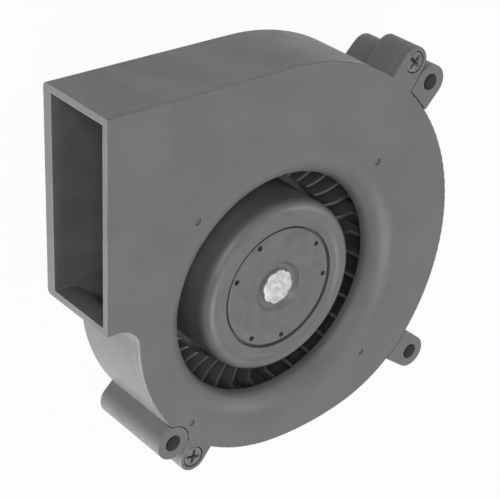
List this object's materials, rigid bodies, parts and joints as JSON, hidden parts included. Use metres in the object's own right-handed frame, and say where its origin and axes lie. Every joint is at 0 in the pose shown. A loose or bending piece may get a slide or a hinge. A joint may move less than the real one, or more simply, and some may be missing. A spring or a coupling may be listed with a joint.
{
  "type": "dc blower fan",
  "caption": "Flat centrifugal DC blower: round inlet on its face, square outlet at its side, forward-curved wheel on a sealed motor, three mounting holes.",
  "frame": {"origin": "where the rotor axis meets the flat back of the casing", "axes": "+Z along the rotor axis, out of the inlet; the outlet points to -X; +Y towards the straight top wall of the outlet"},
  "size_m": [0.1074, 0.1044, 0.025],
  "materials": {
    "casing_plastic": "fine satin moulded, dark grey, glass-filled",
    "rotor_plastic": "fine satin moulded, dark grey",
    "screw_steel": "dark zinc plated",
    "cup_steel": "dark coated deep-drawn steel, satin",
    "boss_metal": "die cast, bright, lightly grained",
    "bearing_steel": "ground and polished",
    "spring_steel": "plain spring steel",
    "cage_nylon": "natural nylon",
    "bonded_magnet": "bonded ferrite, matt",
    "tube_brass": "turned",
    "cap_plastic": "satin moulded, near black",
    "core_steel": "stacked electrical steel sheets",
    "insulator_nylon": "natural nylon, satin",
    "winding_copper": "enamelled copper wire, glossy",
    "board_laminate": "solder mask over glass laminate",
    "chip_black": "moulded epoxy",
    "chip_ceramic": "sintered ceramic",
    "pin_tin": "tinned"
  },
  "bodies": {
    "casing": {"rear_housing": "casing_plastic", "inlet_cover": "casing_plastic", "cover_screws": "screw_steel", "front_bearing_outer_ring": "bearing_steel", "rear_bearing_outer_ring": "bearing_steel", "bearing_tube": "tube_brass", "rear_bearing_cap": "cap_plastic", "stator_core": "core_steel", "front_insulator": "insulator_nylon", "rear_insulator": "insulator_nylon", "winding_1": "winding_copper", "winding_2": "winding_copper", "winding_3": "winding_copper", "winding_4": "winding_copper", "circuit_board": "board_laminate", "terminal_pins": "pin_tin", "driver_chip": "chip_black", "hall_sensor": "chip_black", "filter_capacitor": "chip_ceramic", "chip_resistors": "chip_black"},
    "rotor": {"impeller": "rotor_plastic", "rotor_cup": "cup_steel", "magnet_ring": "bonded_magnet", "shaft": "bearing_steel", "shaft_boss": "boss_metal", "preload_washer": "spring_steel", "shim_washer": "spring_steel", "retaining_clip": "spring_steel", "front_bearing_inner_ring": "bearing_steel", "rear_bearing_inner_ring": "bearing_steel"},
    "front_ball_set": {"front_bearing_balls": "bearing_steel", "front_bearing_cage": "cage_nylon"},
    "rear_ball_set": {"rear_bearing_balls": "bearing_steel", "rear_bearing_cage": "cage_nylon"}
  },
  "joints": [
    {"name": "rotor_spin", "type": "hinge", "parent": "casing", "child": "rotor", "pos_m": [0, 0, 0], "axis": [0, 0, 1], "continuous": true},
    {"name": "front_balls_roll", "type": "hinge", "parent": "casing", "child": "front_ball_set", "pos_m": [0, 0, 0], "axis": [0, 0, 1], "continuous": true},
    {"name": "rear_balls_roll", "type": "hinge", "parent": "casing", "child": "rear_ball_set", "pos_m": [0, 0, 0], "axis": [0, 0, 1], "continuous": true}
  ],
  "couplings": [
    {"joint": "front_balls_roll", "follows": "rotor_spin", "ratio": 0.3727},
    {"joint": "rear_balls_roll", "follows": "rotor_spin", "ratio": 0.3727}
  ]
}
